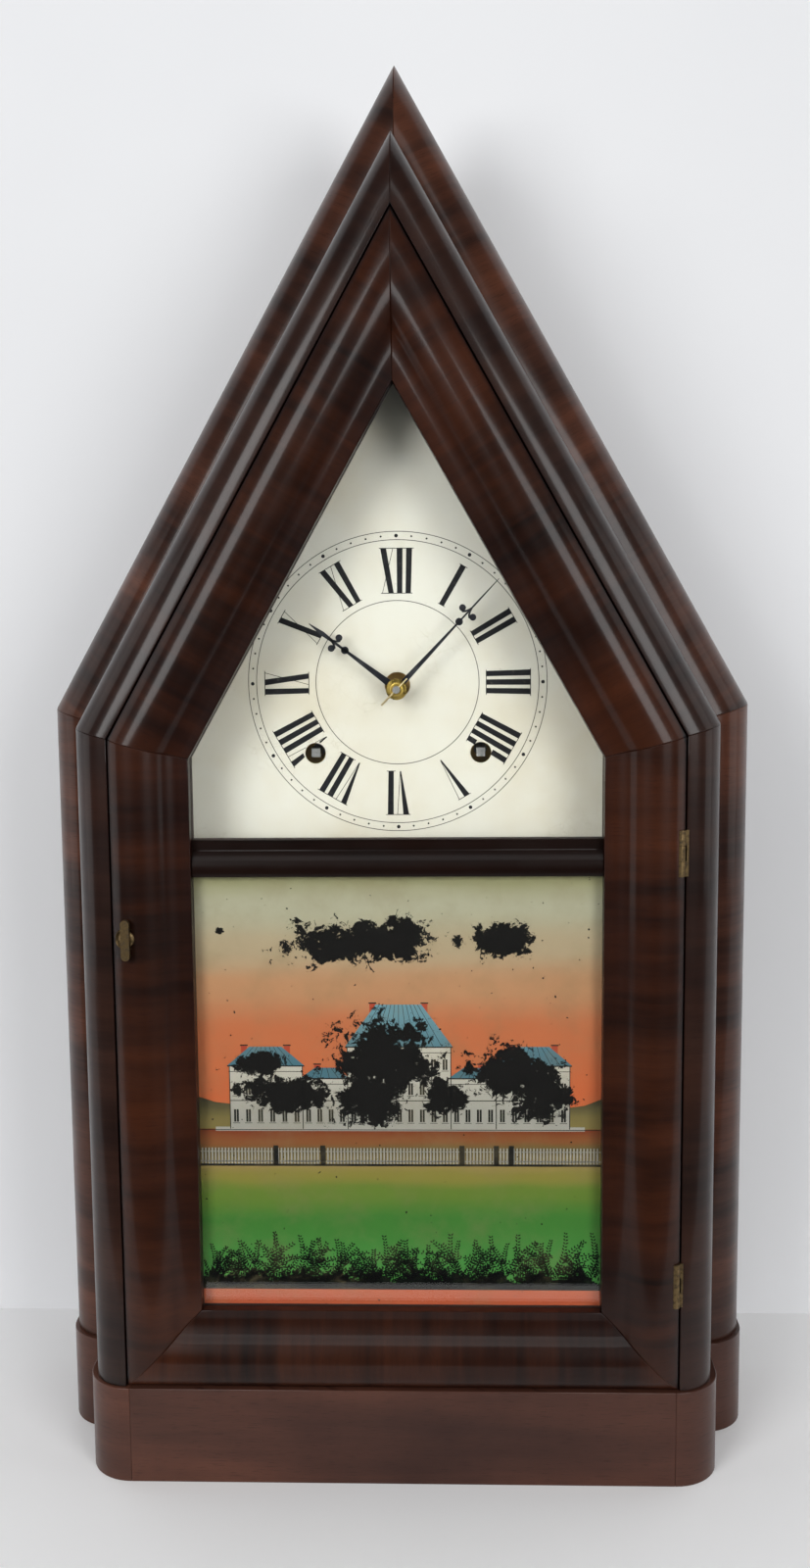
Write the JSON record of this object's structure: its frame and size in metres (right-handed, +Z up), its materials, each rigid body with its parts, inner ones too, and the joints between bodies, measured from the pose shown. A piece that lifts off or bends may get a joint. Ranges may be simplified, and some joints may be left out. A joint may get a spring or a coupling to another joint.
{
  "type": "mantel clock",
  "caption": "Gabled steeple mantel clock in dark wood with a glazed door, Roman dial, painted lower glass and a spring-driven striking movement",
  "frame": {"origin": "middle of the footprint on the resting plane", "axes": "+X to the viewer's right, +Y to the back, +Z up; the door and dial face -Y"},
  "size_m": [0.3398, 0.1217, 0.66],
  "materials": {
    "wood_veneer": "satin varnish",
    "plain_wood": "bare",
    "glass": "clear",
    "painted_glass": "painted behind",
    "brass": "aged satin",
    "steel": "satin",
    "blued_steel": "satin",
    "dial_paint": "aged satin",
    "cast_iron": "japanned"
  },
  "bodies": {
    "case": {"back_plate": "brass", "backboard": "plain_wood", "base_corners": "wood_veneer", "base_front_board": "wood_veneer", "base_sides": "wood_veneer", "case_hinge_leaves": "brass", "dial_plate": "dial_paint", "fixing_screws": "steel", "floor_board": "plain_wood", "front_plate": "brass", "front_roof_left": "wood_veneer", "front_roof_right": "wood_veneer", "front_side_left": "wood_veneer", "front_side_right": "wood_veneer", "gong_base": "cast_iron", "gong_coil": "steel", "hinge_pins": "steel", "inner_cleats": "plain_wood", "mainsprings": "steel", "plate_pillars": "steel", "rear_roof_left": "wood_veneer", "rear_roof_right": "wood_veneer", "rear_side_left": "wood_veneer", "rear_side_right": "wood_veneer"},
    "door": {"door_stile_left": "wood_veneer", "door_stile_right": "wood_veneer", "door_gable_left": "wood_veneer", "door_gable_right": "wood_veneer", "door_bottom_rail": "wood_veneer", "door_mid_rail": "wood_veneer", "upper_glass": "glass", "tablet_glass": "painted_glass", "glazing_beads": "plain_wood", "door_hinge_leaves": "brass", "latch_rosette": "brass"},
    "latch": {"latch_turn": "brass"},
    "minute": {"centre_wheel": "brass", "minute_hand": "blued_steel", "hand_collet": "brass", "hand_pin": "brass"},
    "hour": {"hour_wheel": "brass", "hour_hand": "blued_steel"},
    "motion": {"minute_wheel": "brass"},
    "second": {"second_wheel": "brass"},
    "third": {"third_wheel": "brass"},
    "escape": {"escape_wheel": "brass"},
    "time_great": {"time_great_wheel": "brass"},
    "time_arbor": {"time_winding_arbor": "steel"},
    "time_pawl": {"time_click": "steel"},
    "anchor": {"verge": "steel"},
    "pendulum": {"pendulum_rod": "steel", "pendulum_bob": "brass"},
    "strike_great": {"strike_great_wheel": "brass"},
    "strike_arbor": {"strike_winding_arbor": "steel"},
    "strike_pawl": {"strike_click": "steel"},
    "pins": {"pin_wheel": "brass"},
    "fan": {"fly": "brass"},
    "count": {"count_wheel": "brass"},
    "lever": {"strike_lever": "steel"},
    "striker": {"hammer": "steel"}
  },
  "joints": [
    {"name": "door_swing", "type": "hinge", "parent": "case", "child": "door", "pos_m": [0.1269, -0.0536, 0.199], "axis": [0, 0, 1], "range_deg": [0, 110]},
    {"name": "latch_spin", "type": "hinge", "parent": "door", "child": "latch", "pos_m": [-0.1218, -0.05, 0.2624], "axis": [0, 1, 0], "range_deg": [0, 90]},
    {"name": "minute_spin", "type": "hinge", "parent": "case", "child": "minute", "pos_m": [0, 0.02, 0.3725], "axis": [0, 1, 0], "continuous": true},
    {"name": "hour_spin", "type": "hinge", "parent": "case", "child": "hour", "pos_m": [0, -0.015, 0.3725], "axis": [0, 1, 0], "continuous": true},
    {"name": "motion_spin", "type": "hinge", "parent": "case", "child": "motion", "pos_m": [-0.01273, -0.002, 0.35977], "axis": [0, 1, 0], "continuous": true},
    {"name": "second_spin", "type": "hinge", "parent": "case", "child": "second", "pos_m": [0.02397, 0.02, 0.37368], "axis": [0, 1, 0], "continuous": true},
    {"name": "third_spin", "type": "hinge", "parent": "case", "child": "third", "pos_m": [-0.00056, 0.02, 0.39559], "axis": [0, 1, 0], "continuous": true},
    {"name": "escape_spin", "type": "hinge", "parent": "case", "child": "escape", "pos_m": [0.016, 0.02, 0.4085], "axis": [0, 1, 0], "continuous": true},
    {"name": "time_great_spin", "type": "hinge", "parent": "case", "child": "time_great", "pos_m": [0.0388, 0.02, 0.3422], "axis": [0, 1, 0], "continuous": true},
    {"name": "time_wind", "type": "hinge", "parent": "time_great", "child": "time_arbor", "pos_m": [0.0388, 0.01, 0.3422], "axis": [0, 1, 0], "continuous": true},
    {"name": "time_click_lift", "type": "hinge", "parent": "time_great", "child": "time_pawl", "pos_m": [0.0494, 0.0127, 0.3282], "axis": [0, 1, 0], "range_deg": [0, 14]},
    {"name": "pendulum_swing", "type": "hinge", "parent": "case", "child": "pendulum", "pos_m": [0.016, -0.0115, 0.4315], "axis": [0, 1, 0], "range_deg": [-3.5, 3.5]},
    {"name": "verge_swing", "type": "hinge", "parent": "case", "child": "anchor", "pos_m": [0.016, -0.004, 0.4315], "axis": [0, 1, 0], "range_deg": [-3.5, 3.5]},
    {"name": "strike_great_spin", "type": "hinge", "parent": "case", "child": "strike_great", "pos_m": [-0.0388, 0.02, 0.3422], "axis": [0, 1, 0], "continuous": true},
    {"name": "strike_wind", "type": "hinge", "parent": "strike_great", "child": "strike_arbor", "pos_m": [-0.0388, 0.01, 0.3422], "axis": [0, 1, 0], "continuous": true},
    {"name": "strike_click_lift", "type": "hinge", "parent": "strike_great", "child": "strike_pawl", "pos_m": [-0.0282, 0.0127, 0.3282], "axis": [0, 1, 0], "range_deg": [0, 14]},
    {"name": "pin_wheel_spin", "type": "hinge", "parent": "case", "child": "pins", "pos_m": [-0.02397, 0.02, 0.37368], "axis": [0, 1, 0], "continuous": true},
    {"name": "fly_spin", "type": "hinge", "parent": "case", "child": "fan", "pos_m": [-0.02703, 0.02, 0.39102], "axis": [0, 1, 0], "continuous": true},
    {"name": "count_spin", "type": "hinge", "parent": "case", "child": "count", "pos_m": [-0.0388, 0.0055, 0.3422], "axis": [0, 1, 0], "continuous": true},
    {"name": "lever_lift", "type": "hinge", "parent": "case", "child": "lever", "pos_m": [-0.05, 0.02, 0.3945], "axis": [0, 1, 0], "range_deg": [0, 8]},
    {"name": "hammer_lift", "type": "hinge", "parent": "case", "child": "striker", "pos_m": [-0.012, 0.02, 0.3225], "axis": [0, 1, 0], "range_deg": [0, 14]}
  ],
  "couplings": [
    {"joint": "hour_spin", "follows": "minute_spin", "ratio": 0.083333},
    {"joint": "motion_spin", "follows": "minute_spin", "ratio": -0.33333},
    {"joint": "second_spin", "follows": "minute_spin", "ratio": -0.33333},
    {"joint": "time_great_spin", "follows": "minute_spin", "ratio": 0.053333},
    {"joint": "third_spin", "follows": "minute_spin", "ratio": -10},
    {"joint": "escape_spin", "follows": "minute_spin", "ratio": 90},
    {"joint": "verge_swing", "follows": "pendulum_swing", "ratio": 1},
    {"joint": "pin_wheel_spin", "follows": "strike_great_spin", "ratio": -6.25},
    {"joint": "fly_spin", "follows": "strike_great_spin", "ratio": 39.583},
    {"joint": "count_spin", "follows": "strike_great_spin", "ratio": 0.64103}
  ]
}
